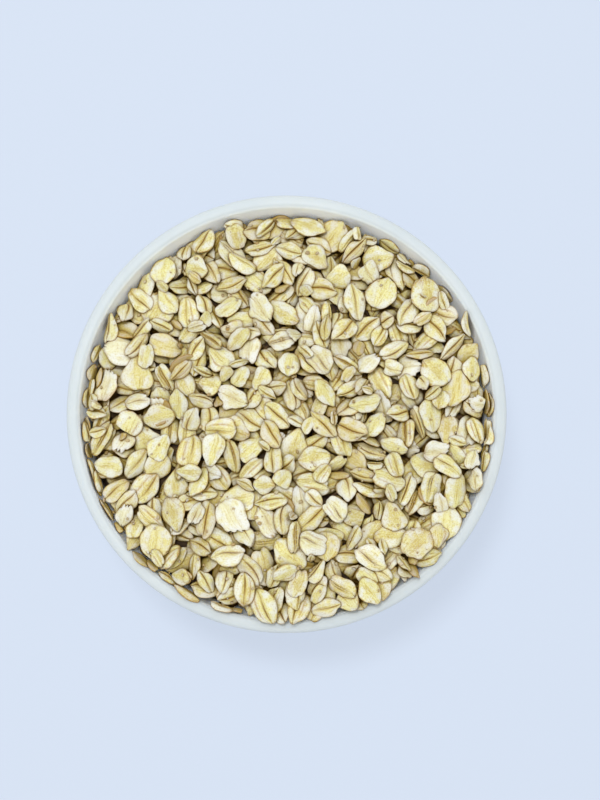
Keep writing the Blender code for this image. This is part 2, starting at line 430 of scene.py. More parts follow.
def flakeForm(name, traits, draw):
    pick = {key: draw.uniform(*value) for key, value in traits.items() if isinstance(value, tuple)}
    doubled = draw.random() < traits["double"]
    ridged = draw.random() < traits["ridges"]
    blunt = draw.uniform(0.25, 0.75) if draw.random() < traits["blunt"] else 1.0
    side = draw.choice((-1, 1))
    lines = [np.array(flakeGrid[way], float) for way in ("along", "across")]
    s, t = np.meshgrid(*lines, indexing="ij")
    x = s * np.sqrt(1 - t * t / 2)
    y = t * np.sqrt(1 - s * s / 2)
    edge = np.hypot(x, y)
    bearing = np.arctan2(y, x)
    chord = np.sqrt(np.maximum(1 - x * x, 0.02))
    across = np.clip(y / chord, -1, 1)

    # Outline: tips, an egg shape, slow waves, and cracks at the ragged end
    crackedEnd = draw.choice((-1, 1))
    cracks = np.zeros_like(x)
    for _ in range(draw.randint(3, 7)):
        heading = draw.gauss(0 if crackedEnd > 0 else math.pi, 0.9)
        apart = np.abs((bearing - heading + math.pi) % (2 * math.pi) - math.pi)
        cracks += draw.uniform(0.3, 1.0) * np.exp(-(apart / draw.uniform(0.06, 0.20)) ** 2)
    cracks = np.clip(cracks, 0, 1.2)
    waves = np.zeros_like(x)
    for wave, size in ((2, 0.045), (3, 0.065), (4, 0.050), (5, 0.036), (7, 0.020)):
        waves += draw.uniform(-size, size) * 1.4 * np.cos(wave * bearing + draw.uniform(0, 6.28))
    tips = 1 - np.where(x > 0, pick["tipFront"], pick["tipBack"]) * x ** 4
    notch = pick["notch"] * np.exp(-(across / 0.16) ** 2) * np.abs(x) ** 10
    outline = 1 + waves * edge - pick["ragged"] * cracks * edge ** 4
    px = x * outline * (1 - notch)
    px = np.where(px > blunt, blunt + 0.12 * (px - blunt), px) - (1 - blunt) / 2
    chordShift = pick["offset"] + 0.10 * np.sin(draw.uniform(1.5, 3.0) * x + draw.uniform(0, 6.28))
    bulged = (y + chordShift * chord * (1 - across * across)) * outline
    py = bulged * (1 - pick["taper"] * x) * tips * pick["aspect"]
    px = px * flakeGrid["halfLength"]
    py = py * flakeGrid["halfWidth"]

    # Relief: two lobes, the crease between them, one lobe standing over the other, and unevenness
    fade = 1 - np.abs(x) ** 6
    distance = np.abs(y) / (0.4 + 0.6 * chord)
    apart = 0.11 if doubled else 0.0
    strong = draw.choice((-1, 1))
    partly = 1 - draw.choice((0.1, 0.5, 0.9)) * smooth(-0.4, 0.9, strong * x)
    groove = np.exp(-((distance - apart) / 0.07) ** 2) * partly
    ridge = draw.uniform(0.3, 0.8) * np.exp(-((across * side - 0.52) / 0.10) ** 2) * ridged
    groove = np.maximum(groove, ridge)
    lobes = np.sin(math.pi * np.abs(across)) ** 0.8
    ledge = np.clip(across * side / 0.06, 0, 1) * (1 - np.abs(across))
    wobble = np.zeros_like(x)
    for _ in range(6):
        wobble += draw.uniform(0.02, 0.06) * np.sin(
            draw.uniform(1.5, 4.5) * x + draw.uniform(-6, 6) * y + draw.uniform(0, 6.28))
    relief = (pick["lobe"] * lobes - pick["crease"] * groove + pick["step"] * ledge) * fade + wobble
    relief = relief * (1 - edge ** 8)

    # The whole plate is bent, cupped, twisted or folded along its crease
    def plate(x, y):
        folded = -pick["fold"] * (np.sqrt(y * y + 0.012) - 0.11)
        return folded + pick["cup"] * y * y + pick["bend"] * x * x + pick["twist"] * x * y

    thickness = flakeGrid["halfThickness"] / mm
    half = thickness * np.sqrt(1 - 0.65 * edge ** 3)
    flutter = 0.35 * pick["ragged"] * np.cos(5 * bearing + 1) * edge ** 2
    top = np.stack([px, py, (plate(x, y) + flutter + half + relief) * mm], -1)
    middle = np.stack([px, py, (plate(x, y) + flutter - half) * mm], -1)

    rows, columns = x.shape
    index = np.arange(rows * columns).reshape(rows, columns)
    rim = flakeRim(rows, columns)
    points = list(top.reshape(-1, 3))
    spots = list(np.stack([x, across, edge], -1).reshape(-1, 3))
    torn = smooth(0.25, 1.0, crackedEnd * x) + 0.8 * cracks * edge ** 2 + pick["raw"] * 0.50
    raw = pick["raw"] * np.clip(torn, 0, 1)
    strength = min(1.0, pick["crease"] * 2.4)
    broad = np.exp(-((distance - apart) / 0.27) ** 2) * fade * partly
    marks = list(np.stack([strength * broad, raw, np.ones_like(x)], -1).reshape(-1, 3))
    beside = np.abs(np.abs(across) - apart)
    creases = list(np.stack([beside, strength * fade * partly, ridge * fade], -1).reshape(-1, 3))

    # The baking map of one flake: its top fills the upper half of a square, the rest the lower half
    upperMap = np.stack([0.5 + 0.47 * s, 0.75 + 0.22 * t], -1).reshape(-1, 2)
    lowerMap = list(np.stack([0.5 + 0.47 * x, 0.25 + 0.22 * y], -1).reshape(-1, 2))

    def addPoint(point, spot, mapX, mapY, mark=(0.0, 0.0, 0.0)):
        points.append(point)
        spots.append(spot)
        lowerMap.append((0.5 + mapX, 0.25 + mapY))
        marks.append(mark)
        creases.append((1.0, 0.0, 0.0))
        return len(points) - 1

    lowRim = []
    for i, j in rim:
        spot = (x[i, j], across[i, j], 1.0)
        lowRim.append(addPoint(middle[i, j], spot, 0.40 * x[i, j], 0.19 * y[i, j], (0.0, raw[i, j], 0.45)))
    innerRim = []
    share = 0.55
    for i, j in rim[::2]:
        low = middle[i, j] * share
        low[2] = (float(plate(x[i, j] * share, y[i, j] * share)) - thickness) * mm
        spot = (x[i, j] * share, across[i, j] * share, share)
        innerRim.append(addPoint(low, spot, 0.22 * x[i, j], 0.10 * y[i, j]))
    centre = addPoint((0.0, 0.0, -flakeGrid["halfThickness"]), (0.0, 0.0, 0.0), 0.0, 0.0)

    faces = flakeFaces(index, rim, lowRim, innerRim, centre)
    mesh = meshFrom(name, points, faces)
    mesh.shade_smooth()
    setVectors(mesh, "flakeSpot", spots)
    setVectors(mesh, "flakeMarks", marks)
    setVectors(mesh, "flakeCrease", creases)
    topFaces = (rows - 1) * (columns - 1)
    corners = [(upperMap if n < topFaces else lowerMap)[k] for n, face in enumerate(faces) for k in face]
    uv = mesh.uv_layers.new(name="OFBake")
    uv.data.foreach_set("uv", np.array(corners, np.float32).ravel())

    cover = stretchGrid(top, flakeGrid["coverParts"])
    fineCover = stretchGrid(top, flakeGrid["fineParts"])
    support = np.array([points[k] for k in lowRim + innerRim + [centre]])
    upperRim = np.array([points[int(index[i, j])] for i, j in rim[::2]])
    hull = np.vstack([support, upperRim])
    return {"mesh": mesh, "cover": cover, "fineCover": fineCover, "support": support, "hull": hull}


def stretchGrid(grid, parts):
    # The grid's points, and more between them, with each row and column gap in so many parts
    rowsAt, columnsAt = (np.linspace(0, n - 1, (n - 1) * part + 1) for n, part in zip(grid.shape, parts))
    i = np.minimum(rowsAt.astype(int), grid.shape[0] - 2)
    j = np.minimum(columnsAt.astype(int), grid.shape[1] - 2)
    fi = (rowsAt - i)[:, None, None]
    fj = (columnsAt - j)[None, :, None]
    first = grid[i][:, j] * (1 - fj) + grid[i][:, j + 1] * fj
    second = grid[i + 1][:, j] * (1 - fj) + grid[i + 1][:, j + 1] * fj
    return (first * (1 - fi) + second * fi).reshape(-1, 3)


formDraw = random.Random(flakeGrid["seed"])
flakeForms = {}
for kind, traits in flakeKinds.items():
    flakeForms[kind] = [flakeForm(f"{kind}.form{n:02d}", traits, formDraw) for n in range(traits["forms"])]
print("stage 3: flake shapes", {kind: len(forms) for kind, forms in flakeForms.items()})


# The heap: flakes are dropped one by one onto a field of heights, where each comes to rest.
# Each has a few poses to choose from, spread by some millimetres, and takes the one that lies lowest.

heap = {
    "seed": 58,
    "crownAboveRim": 1.8 * mm,
    "edgeBelowRim": 0.2 * mm,
    "crownPower": 2.4,
    "edgeLean": 3.7 * mm,
    "leanDirection": math.radians(-78),
    "looseDepth": 5.0 * mm,
    "settle": -1.90 * mm,
    "sink": 0.32 * mm,
    "cell": 0.4 * mm,
    "window": 8,
    "tries": 10,
    "poses": 6,
    "dryTries": 40,
    "restSteps": 30,
    "wallSteps": 12,
    "mostFlakes": 1700,
    "mostRise": 4.4 * mm,
    "spread": 1.2,
    "wallGap": 0.05 * mm,
    "wallStep": 1.1 * mm,
    "overLip": 1.5 * mm,
    "lengthSpread": 0.145,
    "lengthRange": (0.62, 1.26),
    "widthSpread": 0.07,
    "germLength": 0.72,
    "tiltSpread": 0.20,
    "steepShare": 0.46,
    "steepSpread": 0.60,
    "steepArcs": ((188, 34), (-2, 22), (46, 20), (242, 20)),
    "arcWidth": 2.3 * mm,
    "seenCells": 3,
}

# Flakes that lean on the wall while the heap grows, and those that fill its widest gaps afterwards.
# A pose has a swing off the rim's line, a range of tilts in degrees with the ways they may tip,
# and a range of distances to the wall in millimetres.
wallFlakes = {
    "count": 60,
    "mostNeed": 0.80 * heap["looseDepth"],
    "chance": 0.30,
    "rise": 0.6 * mm,
    "pose": {"swing": 0.22, "tilts": (38, 74), "ways": (1, 1, 1, -1), "inwards": (0.3, 3.0)},
}
fillers = {
    "count": 230,
    "poses": 8,
    "tries": 14,
    "leastGap": 0.6 * mm,
    "size": (0.75, 1.0),
    "rise": 1.7 * mm,
    "pose": {"swing": 0.10, "tilts": (50, 80), "ways": (1, 1, 1, 1, -1), "inwards": (0.0, 2.8)},
}
brokenFlakes = {"count": 50, "tries": 40, "size": (0.50, 0.80), "margin": 1.5 * mm}

lipCurve = []
for angle in np.linspace(0.1, math.pi / 2, 8):
    lipReach = bowlForm["lip"] / 2
    out = lipReach * (1 - math.cos(angle) ** bowlForm["lipSquareness"]) if angle < 1.57 else lipReach
    up = lipReach * math.sin(angle) ** bowlForm["lipSquareness"]
    lipCurve.append((wallTop + min(out, heap["overLip"]), bowlHeight - lipReach + up))
wallCurve = np.array(innerSide(0.0, bowlForm["sideSteps"]) + lipCurve)


def wallRadius(height):
    return np.interp(height, wallCurve[:, 1], wallCurve[:, 0])


def heapHeight(x, y):
    share = np.minimum(1.0, np.hypot(x, y) / wallTop)
    fall = heap["crownAboveRim"] + heap["edgeBelowRim"]
    direction = heap["leanDirection"]
    lean = heap["edgeLean"] * (x * math.cos(direction) + y * math.sin(direction)) / wallTop
    return bowlHeight + heap["crownAboveRim"] - fall * share ** heap["crownPower"] + lean


halfCells = int(bowlRadius / heap["cell"]) + 4
cellLines = (np.arange(2 * halfCells + 1) - halfCells) * heap["cell"]
cellX, cellY = np.meshgrid(cellLines, cellLines, indexing="ij")
heights = heapHeight(cellX, cellY) - heap["looseDepth"]
owners = np.full(heights.shape, -1, int)
goal = heapHeight(cellX, cellY) + heap["settle"]
beyondWall = np.hypot(cellX, cellY) > wallRadius(goal) - heap["cell"]
heights[beyondWall] = goal[beyondWall] - heap["wallStep"]


def cellOf(values):
    return np.clip(np.rint(values / heap["cell"]).astype(int) + halfCells, 0, 2 * halfCells)


def tiltMatrix(slopeX, slopeY):
    # The shortest turn that takes up to the normal of a plane with these slopes
    normal = Vector((-slopeX, -slopeY, 1.0)).normalized()
    return np.array(Vector((0, 0, 1)).rotation_difference(normal).to_matrix())


def turnMatrix(angle):
    return np.array(Matrix.Rotation(angle, 3, "Z"))


def restingSlope(support, x, y, steps):
    # The slopes at which the flake's middle lies lowest while no point of it is under the field
    field = heights[cellOf(x + support[:, 0]), cellOf(y + support[:, 1])] - support[:, 2]
    slope = np.zeros(2)
    best = (np.inf, slope)
    stride = 0.22
    for _ in range(steps):
        lift = field - support[:, :2] @ slope
        touching = int(lift.argmax())
        if lift[touching] < best[0]:
            best = (lift[touching], slope.copy())
        arm = support[touching, :2]
        slope = slope + stride * arm / max(np.hypot(*arm), 1e-6)
        stride *= 0.90
    return best[1]


def arcMargin(x, y):
    # Along some arcs of the wall, lying flakes leave room for steep ones
    bearing = np.degrees(np.arctan2(y, x))
    apart = [np.abs((bearing - middle + 180) % 360 - 180) / half for middle, half in heap["steepArcs"]]
    return heap["arcWidth"] * np.clip((1.0 - np.min(apart, axis=0)) / 0.3, 0, 1)


arcRoom = arcMargin(cellX, cellY)


def settleAt(hull, x, y, margin):
    # Moves the flake in from the wall, then down onto the field; None if it doesn't fit
    for _ in range(heap["wallSteps"]):
        px, py = x + hull[:, 0], y + hull[:, 1]
        rest = float((heights[cellOf(px), cellOf(py)] - hull[:, 2]).max()) - heap["sink"]
        excess = float((np.hypot(px, py) - wallRadius(rest + hull[:, 2])).max()) + heap["wallGap"] + margin
        if excess <= 0:
            return x, y, rest
        distance = max(math.hypot(x, y), 1e-6)
        x -= x / distance * excess
        y -= y / distance * excess
    return None


def stamp(tops, names, place, cover, number):
    # Raises the cells under a flake's points, and marks the raised ones with its number
    order = np.argsort(cover[:, 2], kind="stable")
    ix, iy, z = place(cover[order, 0]), place(cover[order, 1]), cover[order, 2]
    higher = z > tops[ix, iy]
    tops[ix[higher], iy[higher]] = z[higher]
    names[ix[higher], iy[higher]] = number


def drawFlake():
    roll = draw.random() * sum(traits["share"] for traits in flakeKinds.values())
    for kind, traits in flakeKinds.items():
        roll -= traits["share"]
        if roll <= 0:
            break
    least, most = heap["lengthRange"]
    length = min(max(draw.gauss(1.0, heap["lengthSpread"]), least), most)
    if kind == "germFlakes":
        length *= heap["germLength"]
    width = length * (1 + draw.gauss(0, heap["widthSpread"]))
    return kind, draw.randrange(traits["forms"]), np.array((length, width, draw.uniform(0.85, 1.15)))


def tryFlake(shape, size, turn, x, y, tilt=None):
    # One pose: how high over the goal the flake comes to rest, and where
    margin = arcMargin(x, y) if tilt is None else 0.0
    if tilt is None:
        support = (shape["support"] * size) @ turnMatrix(turn).T
        slope = restingSlope(support, x, y, heap["restSteps"])
        slope = slope + np.array((draw.gauss(0, heap["tiltSpread"]), draw.gauss(0, heap["tiltSpread"])))
        if draw.random() < heap["steepShare"]:
            slope = slope + np.array((draw.gauss(0, heap["steepSpread"]), draw.gauss(0, heap["steepSpread"])))
        tilt = tiltMatrix(*slope)
    pose = tilt @ turnMatrix(turn)
    rest = settleAt((shape["hull"] * size) @ pose.T, x, y, margin)
    if rest is None:
        return None
    x, y, z = rest
    return z - float(goal[cellOf(x), cellOf(y)]), pose, rest


def placeFlake(kind, form, size, options, rise=None):
    shape = flakeForms[kind][form]
    found = [tryFlake(shape, size, *option) for option in options]
    found = [pose for pose in found if pose]
    if not found:
        return
    _, pose, at = min(found, key=lambda option: option[0])
    cover = (shape["cover"] * size) @ pose.T + np.array(at)
    if rise is not None:
        above = cover[:, 2] - goal[cellOf(cover[:, 0]), cellOf(cover[:, 1])]
        if float(above.max()) > rise:
            return
    stamp(heights, owners, cellOf, cover, len(flakes))
    flakes.append({"kind": kind, "form": form, "size": tuple(size), "pose": pose, "at": at})


def randomSpot(draw, reach):
    radius = reach * math.sqrt(draw.random())
    angle = draw.uniform(0, 2 * math.pi)
    x, y = radius * math.cos(angle), radius * math.sin(angle)
    return radius, x, y, cellOf(x), cellOf(y)


def deepestSpot(tries):
    # Of a few random spots, the one where the heap is furthest below its goal
    reach = wallTop - 0.8 * mm
    best = (-1.0, 0.0, 0.0)
    for _ in range(tries):
        radius, x, y, ix, iy = randomSpot(draw, reach)
        if radius > reach - arcRoom[ix, iy]:
            continue
        w = heap["window"]
        part = slice(ix - w, ix + w + 1), slice(iy - w, iy + w + 1)
        within = np.hypot(cellX[part], cellY[part]) < reach - arcRoom[part]
        need = float((goal[part] - heights[part])[within].mean())
        if need > best[0]:
            best = (need, x, y)
    return best


def widestGap():
    # Of a few patches along the wall, the bearing of the one that is furthest below the goal
    widest = (fillers["leastGap"], None)
    ring = wallRadius(bowlHeight - 3 * mm) - np.linspace(0.4, 2.6, 5)[None, :] * mm
    for _ in range(fillers["tries"]):
        bearing = draw.uniform(0, 2 * math.pi)
        arc = bearing + np.linspace(-0.05, 0.05, 7)[:, None]
        ix, iy = cellOf(ring * np.cos(arc)), cellOf(ring * np.sin(arc))
        gap = float((goal[ix, iy] - heights[ix, iy]).mean())
        if gap > widest[0]:
            widest = (gap, bearing)
    return widest[1]


def deepestHole():
    # Of many random spots, the one furthest below the mean height around it
    best = (0.0, 0.0, 0.0)
    for _ in range(brokenFlakes["tries"]):
        _, x, y, ix, iy = randomSpot(draw, wallTop - brokenFlakes["margin"])
        around, within = (heights[ix - n : ix + n + 1, iy - n : iy + n + 1].mean() for n in (8, 1))
        hole = float(around - within)
        if hole > best[0]:
            best = (hole, x, y)
    return best[1:]


def steepPose(bearing, swing, tilts, ways, inwards):
    # A flake on its edge, leaning on the wall, its length along the rim
    swing = draw.gauss(0, swing)
    around = Matrix.Rotation(bearing - math.pi / 2 + swing, 3, "Z")
    tip = Matrix.Rotation(math.radians(draw.uniform(*tilts)) * draw.choice(ways), 3, "X")
    reach = wallTop - draw.uniform(*inwards) * mm
    tilt = np.array(around @ tip @ around.inverted())
    return bearing + math.pi / 2 + swing, reach * math.cos(bearing), reach * math.sin(bearing), tilt


def growHeap():
    # Until hardly a spot is left below the goal
    dry = 0
    wallLeft = wallFlakes["count"]
    while len(flakes) < heap["mostFlakes"] and dry < heap["dryTries"]:
        need, x, y = deepestSpot(heap["tries"])
        if need <= 0:
            dry += 1
            continue
        dry = 0
        if wallLeft and need < wallFlakes["mostNeed"] and draw.random() < wallFlakes["chance"]:
            bearing = draw.uniform(0, 2 * math.pi)
            kind, form, size = drawFlake()
            placeFlake(kind, form, size, [steepPose(bearing, **wallFlakes["pose"])], wallFlakes["rise"])
            wallLeft -= 1
        options = []
        for _ in range(heap["poses"]):
            nearX = x + draw.gauss(0, heap["spread"]) * mm
            nearY = y + draw.gauss(0, heap["spread"]) * mm
            options.append((draw.uniform(0, 2 * math.pi), nearX, nearY))
        placeFlake(*drawFlake(), options, heap["mostRise"])


def fillWall():
    # Steep flakes stand in the widest gaps along the wall
    for _ in range(fillers["count"]):
        widest = widestGap()
        if widest is None:
            continue
        kind, form, size = drawFlake()
        size = size * draw.uniform(*fillers["size"])
        options = []
        for _ in range(fillers["poses"]):
            options.append(steepPose(widest + draw.gauss(0, 0.02), **fillers["pose"]))
        placeFlake(kind, form, size, options, fillers["rise"])


def fillHoles():
    # Small broken flakes drop into the deepest holes
    for _ in range(brokenFlakes["count"]):
        x, y = deepestHole()
        kind, form, size = drawFlake()
        size = size * draw.uniform(*brokenFlakes["size"])
        options = []
        for _ in range(heap["poses"]):
            turn = draw.uniform(0, 2 * math.pi)
            options.append((turn, x + draw.gauss(0, 0.4) * mm, y + draw.gauss(0, 0.4) * mm))
        placeFlake(kind, form, size, options)


draw = random.Random(heap["seed"])
flakes = []
growHeap()
fillWall()
fillHoles()
seen = np.bincount(owners[owners >= 0], minlength=len(flakes))
shown = seen >= heap["seenCells"]
print("stage 4: heap of", len(flakes), "flakes,", int(shown.sum()), "on show")


# Geometry Nodes put each kind's shapes on its points, one flake a point

def scatterTree(name):
    tree = bpy.data.node_groups.new(name, "GeometryNodeTree")
    sockets = {"Points": "Geometry", "Shapes": "Collection", "Finish": "Material", "Map side": "Int"}
    for socket, kind in sockets.items():
        tree.interface.new_socket(socket, in_out="INPUT", socket_type="NodeSocket" + kind)
    tree.interface.new_socket("Flakes", in_out="OUTPUT", socket_type="NodeSocketGeometry")
    entry = node(tree, "NodeGroupInput").outputs

    def named(name, kind):
        made = node(tree, "GeometryNodeInputNamedAttribute", {"Name": name}, data_type=kind)
        return made.outputs["Attribute"]

    shapes = node(tree, "GeometryNodeCollectionInfo", {
        "Collection": entry["Shapes"],
        "Separate Children": True,
        "Reset Children": True,
    })
    scatter = node(tree, "GeometryNodeInstanceOnPoints", {
        "Points": entry["Points"],
        "Instance": shapes.outputs["Instances"],
        "Pick Instance": True,
        "Instance Index": named("form", "INT"),
        "Rotation": named("turn", "FLOAT_VECTOR"),
        "Scale": named("grow", "FLOAT_VECTOR"),
    })
    real = node(tree, "GeometryNodeRealizeInstances", {"Geometry": scatter.outputs["Instances"]})

    # Each flake's map goes into its own square of the whole piece's map
    side = entry["Map side"]
    cell = named("cell", "INT")
    row = maths(tree, "FLOOR", maths(tree, "DIVIDE", cell, side))
    column = maths(tree, "SUBTRACT", cell, times(tree, row, side))
    moved = vectorMaths(tree, "ADD", named("OFBake", "FLOAT_VECTOR"), combine(tree, column, row, 0.0))[0]
    values = {
        "Geometry": real.outputs["Geometry"],
        "Name": "OFBake",
        "Value": vectorMaths(tree, "DIVIDE", moved, combine(tree, side, side, 1.0))[0],
    }
    store = node(tree, "GeometryNodeStoreNamedAttribute", values, data_type="FLOAT2", domain="CORNER")
    values = {"Geometry": store.outputs["Geometry"], "Material": entry["Finish"]}
    finish = node(tree, "GeometryNodeSetMaterial", values)
    node(tree, "NodeGroupOutput", {"Flakes": finish.outputs["Geometry"]})
    return tree


def scatterPiece(name, shapes, places, tone, numbers):
    # places is a list of (form, rotation matrix, size, position); tone has three numbers for each,
    # and numbers says which flake of the heap each one is
    points = meshFrom(name + ".points", [place[3] for place in places], [])
    whole = {"form": [place[0] for place in places], "cell": list(range(len(places))), "number": numbers}
    for key, values in whole.items():
        points.attributes.new(key, "INT", "POINT").data.foreach_set("value", values)
    setVectors(points, "turn", [Matrix(place[1].tolist()).to_euler() for place in places])
    setVectors(points, "grow", [place[2] for place in places])
    setVectors(points, "flakeTone", tone)
    holder = bpy.data.collections.new(name + ".shapes")
    for mesh in shapes:
        holder.objects.link(bpy.data.objects.new(mesh.name, mesh))
    maker = addObject(name + ".maker", points)
    modifier = maker.modifiers.new("Scatter", "NODES")
    modifier.node_group = flakeScatter
    sockets = {item.name: item.identifier for item in flakeScatter.interface.items_tree}
    modifier[sockets["Shapes"]] = holder
    modifier[sockets["Finish"]] = oatFinish
    modifier[sockets["Map side"]] = math.ceil(math.sqrt(len(places)))
    graph = bpy.context.evaluated_depsgraph_get()
    made = bpy.data.meshes.new_from_object(maker.evaluated_get(graph))
    made.name = name
    for thing in [maker, *holder.objects]:
        bpy.data.objects.remove(thing, do_unlink=True)
    bpy.data.collections.remove(holder)
    return addObject(name, made)


# The shaded and gap colours are painted shade, and so are brown and tan where the shades below use them
oatColours = {
    "streak": srgb(200, 179, 104),
    "straw": srgb(227, 220, 148),
    "cream": srgb(235, 231, 166),
    "pale": srgb(233, 235, 224),
    "olive": srgb(189, 164, 80),
    "tan": srgb(178, 136, 62),
    "brown": srgb(84, 54, 1),
    "shaded": srgb(186, 156, 38),
    "flour": srgb(239, 240, 236),
    "gap": srgb(70, 45, 2),
}

# How far each shade reaches, where it starts and ends, how strong it is, and its colour
oatShades = (
    (5.0 * mm, ((0.20, 0.80, 0.78, "shaded"),)),
    (2.4 * mm, ((0.15, 0.62, 0.96, "gap"),)),
    (0.7 * mm, ((0.50, 0.97, 0.72, "tan"), (0.20, 0.72, 0.94, "brown"))),
)


def oatMaterial():
    material, tree, shader = newMaterial("oatFlake")

    def attribute(name):
        return split(tree, node(tree, "ShaderNodeAttribute", attribute_name=name).outputs["Vector"])

    def band(*values):
        return rangeOf(tree, *values)

    def paint(below, name, *shares):
        # A named colour over the one below, as strong as the product of the shares
        share = shares[0]
        for other in shares[1:]:
            share = times(tree, share, other)
        return blendColours(tree, share, below, oatColours[name])

    where = node(tree, "ShaderNodeTexCoord").outputs["Object"]
    along, across, edge = attribute("flakeSpot")
    crease, raw, upper = attribute("flakeMarks")
    light, warmth, seed = attribute("flakeTone")
    depth, contactShade, steep = attribute("flakeShade")
    away, creased, ridge = attribute("flakeCrease")

    # Fine lines along the grain, soft clouds, and a dry, floury speckle
    shifted = maths(tree, "ADD", times(tree, along, 0.55), times(tree, seed, 31))
    lines = combine(tree, shifted, times(tree, across, 4.0), times(tree, seed, 17))
    grain = noiseOf(tree, lines, 1.7, 3.0, 0.65)
    veinLines = combine(tree, times(tree, shifted, 1.6), times(tree, across, 11.0), times(tree, seed, 23))
    veins = noiseOf(tree, veinLines, 1.5, 2.0, 0.6)
    cloud = noiseOf(tree, where, 380, 2.0)
    mottle = noiseOf(tree, where, 1100, 2.0, 0.55)
    speckle = noiseOf(tree, where, 2600, 2.0, 0.6)
    colour = blendColours(tree, band(grain, 0.34, 0.46), oatColours["streak"], oatColours["straw"])
    colour = paint(colour, "cream", band(grain, 0.44, 0.60))
    colour = paint(colour, "olive", band(veins, 0.56, 0.68), band(cloud, 0.42, 0.62, 0.08, 0.88))
    colour = paint(colour, "olive", band(mottle, 0.55, 0.72), band(seed, 0.1, 0.9, 0.15, 0.75))

    # Pale along the middle of each lobe, partly the flake's own colour and partly a painted highlight; more
    # olive beside the crease, partly own colour and partly painted shade; tan on the ridges
    lobe = band(maths(tree, "ABSOLUTE", across), 0.15, 0.50)
    colour = paint(colour, "pale", lobe, band(cloud, 0.35, 0.62), 0.92)
    colour = paint(colour, "olive", band(crease, 0.15, 0.90, 0.0, 0.75))
    colour = paint(colour, "tan", band(ridge, 0.15, 0.70, 0.0, 0.70))

    # Stains in the middle, bran along the edge, a tan tip, and a brown line in the crease
    stain = times(tree, band(edge, 0.65, 0.10), band(seed, 0.2, 0.9, 0.0, 0.7))
    colour = paint(colour, "olive", stain, band(grain, 0.38, 0.60))
    colour = paint(colour, "tan", band(edge, 0.90, 1.0), band(cloud, 0.35, 0.58, 0.9, 0.15))
    tip = times(tree, band(along, 0.35, 0.90), band(seed, 0.45, 0.95, 0.0, 0.8))
    colour = paint(colour, "tan", tip, band(grain, 0.35, 0.60, 1.0, 0.3))
    wander = maths(tree, "ADD", away, times(tree, maths(tree, "SUBTRACT", grain, 0.5), 0.10))
    line = band(wander, 0.025, 0.085, 1.0, 0.0)
    colour = paint(colour, "brown", line, band(creased, 0.25, 0.75, 0.0, 0.95))

    # Tan on steep faces, partly the bran of the flakes' sides and partly painted shade on faces turned from
    # the overhead lamps; speckles, flour on torn parts, the underside, and warm flakes
    colour = paint(colour, "tan", band(steep, 0.1, 0.9, 0.0, 0.75))
    colour = paint(colour, "pale", band(speckle, 0.54, 0.66, 0.0, 0.55))
    colour = paint(colour, "olive", band(speckle, 0.46, 0.34, 0.0, 0.52))
    flour = times(tree, raw, band(speckle, 0.30, 0.50, 0.6, 1.0))
    colour = paint(colour, "flour", flour, band(grain, 0.35, 0.55, 0.6, 1.0))
    colour = paint(colour, "tan", band(upper, 0.35, 1.0, 1.0, 0.0))
    colour = paint(colour, "tan", warmth, 0.8)

    # Painted shade: darker and browner where another flake stands close over a point, where little is open
    # around it, and in the depth of the heap
    colour = paint(colour, "brown", band(contactShade, 0.10, 1.0, 0.0, 0.25))
    for reach, steps in oatShades:
        openness = opennessOf(tree, reach)
        for closed, clear, most, name in steps:
            colour = paint(colour, name, band(openness, closed, clear, most, 0.0))
    colour = paint(colour, "gap", band(depth, 0.0, 0.8, 0.0, 0.96))
    relief = maths(tree, "ADD", grain, times(tree, speckle, 0.5))
    relief = maths(tree, "SUBTRACT", relief, times(tree, veins, 0.8))
    fill(tree, shader, {
        "Base Color": node(tree, "ShaderNodeHueSaturation", {"Color": colour, "Value": light}).outputs[0],
        "Roughness": band(grain, 0.3, 0.7, 0.50, 0.72),
        "Specular IOR Level": 0.05,
        "Normal": bumpOf(tree, relief, 0.9, 0.00028),
    })
    return material


oatFinish = oatMaterial()
flakeScatter = scatterTree("oatScatter")


# Three painted shades that the finished heap gives each point: how deep it lies below the smoothed surface,
# how closely another flake stands over it, and how steep it is

shadeForm = {
    "cell": 0.2 * mm,
    "smoothing": 11,
    "depthStart": 1.3 * mm,
    "depthRange": 2.0 * mm,
    "contactReach": 2,
    "contactStart": 0.15 * mm,
    "contactRange": 0.55 * mm,
    "steepStart": 0.90,
    "steepRange": 0.75,
}

fineHalf = int(bowlRadius / shadeForm["cell"]) + 6
fineTop = np.full((2 * fineHalf + 1, 2 * fineHalf + 1), -1.0)
fineOwner = np.full(fineTop.shape, -1, int)


def fineCell(values):
    return np.clip(np.rint(values / shadeForm["cell"]).astype(int) + fineHalf, 0, 2 * fineHalf)


for number, flake in enumerate(flakes):
    shape = flakeForms[flake["kind"]][flake["form"]]
    cover = (shape["fineCover"] * np.array(flake["size"])) @ flake["pose"].T + np.array(flake["at"])
    stamp(fineTop, fineOwner, fineCell, cover, number)
blurred = heights.copy()
for axis in (0, 1):
    total = np.zeros_like(blurred)
    for step in range(shadeForm["smoothing"]):
        total += np.roll(blurred, step - shadeForm["smoothing"] // 2, axis)
    blurred = total / shadeForm["smoothing"]


